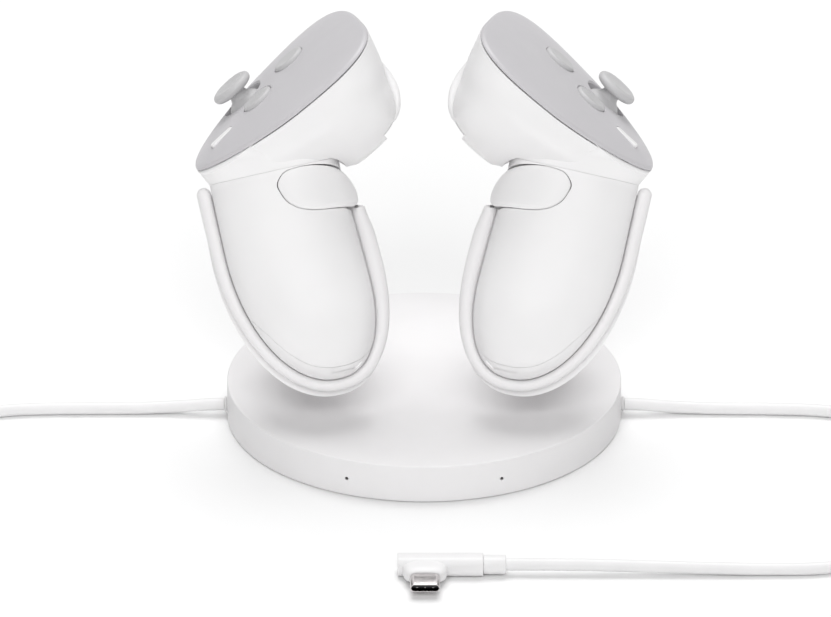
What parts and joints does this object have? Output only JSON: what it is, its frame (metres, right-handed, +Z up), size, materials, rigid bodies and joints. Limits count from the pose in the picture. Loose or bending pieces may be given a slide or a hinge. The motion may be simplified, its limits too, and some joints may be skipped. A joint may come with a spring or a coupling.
{
  "type": "controller charging dock",
  "caption": "Round charging dock with two hand controllers standing in scoop-shaped cradles, a power lead and a headset charging lead.",
  "frame": {"origin": "centre of the round dock's underside, on the table", "axes": "+Z up, -Y towards the front where the status lights are, +X to the right where the headset lead leaves"},
  "size_m": [0.3373, 0.1709, 0.1178],
  "materials": {
    "controller_white": "satin moulded white",
    "dock_white": "fine matte moulded white",
    "face_grey": "satin cool light grey",
    "control_grey": "soft-touch grey",
    "cord_white": "satin white sheath",
    "pad_rubber": "matte",
    "steel": "satin",
    "contact_gold": "gold plated",
    "circuit_board": "lacquered",
    "black_plastic": "satin",
    "light_pipe": "polished"
  },
  "bodies": {
    "dock": {"base_top_shell": "dock_white", "base_bottom_cover": "dock_white", "base_foot_pad": "pad_rubber", "base_ballast_plate": "steel", "base_circuit_board": "circuit_board", "base_screw_1": "steel", "base_screw_2": "steel", "left_status_light": "light_pipe", "right_status_light": "light_pipe", "power_gland": "cord_white", "headset_gland": "cord_white", "power_lead": "cord_white", "power_coil": "cord_white", "power_lead_end": "cord_white", "power_plug_body": "cord_white", "power_plug_mouth": "steel", "headset_lead": "cord_white", "headset_plug_collar": "cord_white", "headset_plug_body": "cord_white", "headset_plug_mouth": "steel", "left_cradle_cup": "dock_white", "left_cradle_shell": "dock_white", "left_contact_block": "black_plastic", "right_cradle_cup": "dock_white", "right_cradle_shell": "dock_white", "right_contact_block": "black_plastic"},
    "left_controller": {"left_handle_shell": "controller_white", "left_battery": "steel", "left_charge_plate": "contact_gold", "left_head_shell": "controller_white", "left_face_plate": "face_grey", "left_trigger_pin": "steel", "left_controller_board": "circuit_board", "left_haptic_motor": "steel"},
    "left_battery_cover": {"left_battery_cover": "controller_white"},
    "left_grip_button": {"left_grip_button": "controller_white"},
    "left_trigger": {"left_trigger": "controller_white"},
    "left_lower_button": {"left_lower_button": "control_grey"},
    "left_upper_button": {"left_upper_button": "control_grey"},
    "left_menu_button": {"left_menu_button": "controller_white"},
    "left_stick_carrier": {"left_stick_carrier": "black_plastic"},
    "left_stick_ring": {"left_stick_ring": "black_plastic"},
    "left_thumbstick": {"left_thumbstick": "control_grey"},
    "right_controller": {"right_handle_shell": "controller_white", "right_battery": "steel", "right_charge_plate": "contact_gold", "right_head_shell": "controller_white", "right_face_plate": "face_grey", "right_trigger_pin": "steel", "right_controller_board": "circuit_board", "right_haptic_motor": "steel"},
    "right_battery_cover": {"right_battery_cover": "controller_white"},
    "right_grip_button": {"right_grip_button": "controller_white"},
    "right_trigger": {"right_trigger": "controller_white"},
    "right_lower_button": {"right_lower_button": "control_grey"},
    "right_upper_button": {"right_upper_button": "control_grey"},
    "right_menu_button": {"right_menu_button": "controller_white"},
    "right_stick_carrier": {"right_stick_carrier": "black_plastic"},
    "right_stick_ring": {"right_stick_ring": "black_plastic"},
    "right_thumbstick": {"right_thumbstick": "control_grey"}
  },
  "joints": [
    {"name": "left_controller_lift_off", "type": "slide", "parent": "dock", "child": "left_controller", "axis": [-0.1944, -0.0094, 0.9809], "range_m": [0, 0.045]},
    {"name": "left_battery_cover_lift_off", "type": "slide", "parent": "left_controller", "child": "left_battery_cover", "axis": [0, -0.898, 0.4399], "range_m": [0, 0.012]},
    {"name": "left_grip_squeeze", "type": "hinge", "parent": "left_controller", "child": "left_grip_button", "pos_m": [-0.0382, -0.01279, 0.07506], "axis": [-0.2164, 0.4295, 0.8767], "range_deg": [0, 4.5], "stiffness_Nm_per_rad": 0.06, "springref_deg": -5.73},
    {"name": "left_trigger_pull", "type": "hinge", "parent": "left_controller", "child": "left_trigger", "pos_m": [-0.01903, 0.01302, 0.10387], "axis": [0, 0.898, -0.4399], "range_deg": [0, 14], "stiffness_Nm_per_rad": 0.04, "springref_deg": -11.46},
    {"name": "left_lower_button_press", "type": "slide", "parent": "left_controller", "child": "left_lower_button", "axis": [0.6608, -0.1306, -0.7391], "range_m": [0, 0.001], "stiffness_N_per_m": 400, "springref_m": -0.0004},
    {"name": "left_upper_button_press", "type": "slide", "parent": "left_controller", "child": "left_upper_button", "axis": [0.6608, -0.1306, -0.7391], "range_m": [0, 0.001], "stiffness_N_per_m": 400, "springref_m": -0.0004},
    {"name": "left_menu_button_press", "type": "slide", "parent": "left_controller", "child": "left_menu_button", "axis": [0.6425, -0.031, -0.7656], "range_m": [0, 0.0006], "stiffness_N_per_m": 400, "springref_m": -0.0004},
    {"name": "left_stick_click", "type": "slide", "parent": "left_controller", "child": "left_stick_carrier", "axis": [0.6608, -0.1306, -0.7391], "range_m": [0, 0.0005], "stiffness_N_per_m": 1500, "springref_m": -0.0004},
    {"name": "left_stick_rock", "type": "hinge", "parent": "left_stick_carrier", "child": "left_stick_ring", "pos_m": [-0.04844, 0.0175, 0.08715], "axis": [0.7373, 0.2972, 0.6067], "range_deg": [-15, 15], "stiffness_Nm_per_rad": 0.02},
    {"name": "left_stick_sway", "type": "hinge", "parent": "left_stick_ring", "child": "left_thumbstick", "pos_m": [-0.04844, 0.0175, 0.08715], "axis": [-0.1405, 0.9458, -0.2927], "range_deg": [-15, 15], "stiffness_Nm_per_rad": 0.02},
    {"name": "right_controller_lift_off", "type": "slide", "parent": "dock", "child": "right_controller", "axis": [0.1944, -0.0094, 0.9809], "range_m": [0, 0.045]},
    {"name": "right_battery_cover_lift_off", "type": "slide", "parent": "right_controller", "child": "right_battery_cover", "axis": [0, -0.898, 0.4399], "range_m": [0, 0.012]},
    {"name": "right_grip_squeeze", "type": "hinge", "parent": "right_controller", "child": "right_grip_button", "pos_m": [0.0382, -0.01279, 0.07506], "axis": [-0.2164, -0.4295, -0.8767], "range_deg": [0, 4.5], "stiffness_Nm_per_rad": 0.06, "springref_deg": -5.73},
    {"name": "right_trigger_pull", "type": "hinge", "parent": "right_controller", "child": "right_trigger", "pos_m": [0.01903, 0.01302, 0.10387], "axis": [0, -0.898, 0.4399], "range_deg": [0, 14], "stiffness_Nm_per_rad": 0.04, "springref_deg": -11.46},
    {"name": "right_lower_button_press", "type": "slide", "parent": "right_controller", "child": "right_lower_button", "axis": [-0.6608, -0.1306, -0.7391], "range_m": [0, 0.001], "stiffness_N_per_m": 400, "springref_m": -0.0004},
    {"name": "right_upper_button_press", "type": "slide", "parent": "right_controller", "child": "right_upper_button", "axis": [-0.6608, -0.1306, -0.7391], "range_m": [0, 0.001], "stiffness_N_per_m": 400, "springref_m": -0.0004},
    {"name": "right_menu_button_press", "type": "slide", "parent": "right_controller", "child": "right_menu_button", "axis": [-0.6425, -0.031, -0.7656], "range_m": [0, 0.0006], "stiffness_N_per_m": 400, "springref_m": -0.0004},
    {"name": "right_stick_click", "type": "slide", "parent": "right_controller", "child": "right_stick_carrier", "axis": [-0.6608, -0.1306, -0.7391], "range_m": [0, 0.0005], "stiffness_N_per_m": 1500, "springref_m": -0.0004},
    {"name": "right_stick_rock", "type": "hinge", "parent": "right_stick_carrier", "child": "right_stick_ring", "pos_m": [0.04844, 0.0175, 0.08715], "axis": [0.7373, -0.2972, -0.6067], "range_deg": [-15, 15], "stiffness_Nm_per_rad": 0.02},
    {"name": "right_stick_sway", "type": "hinge", "parent": "right_stick_ring", "child": "right_thumbstick", "pos_m": [0.04844, 0.0175, 0.08715], "axis": [-0.1405, -0.9458, 0.2927], "range_deg": [-15, 15], "stiffness_Nm_per_rad": 0.02}
  ]
}
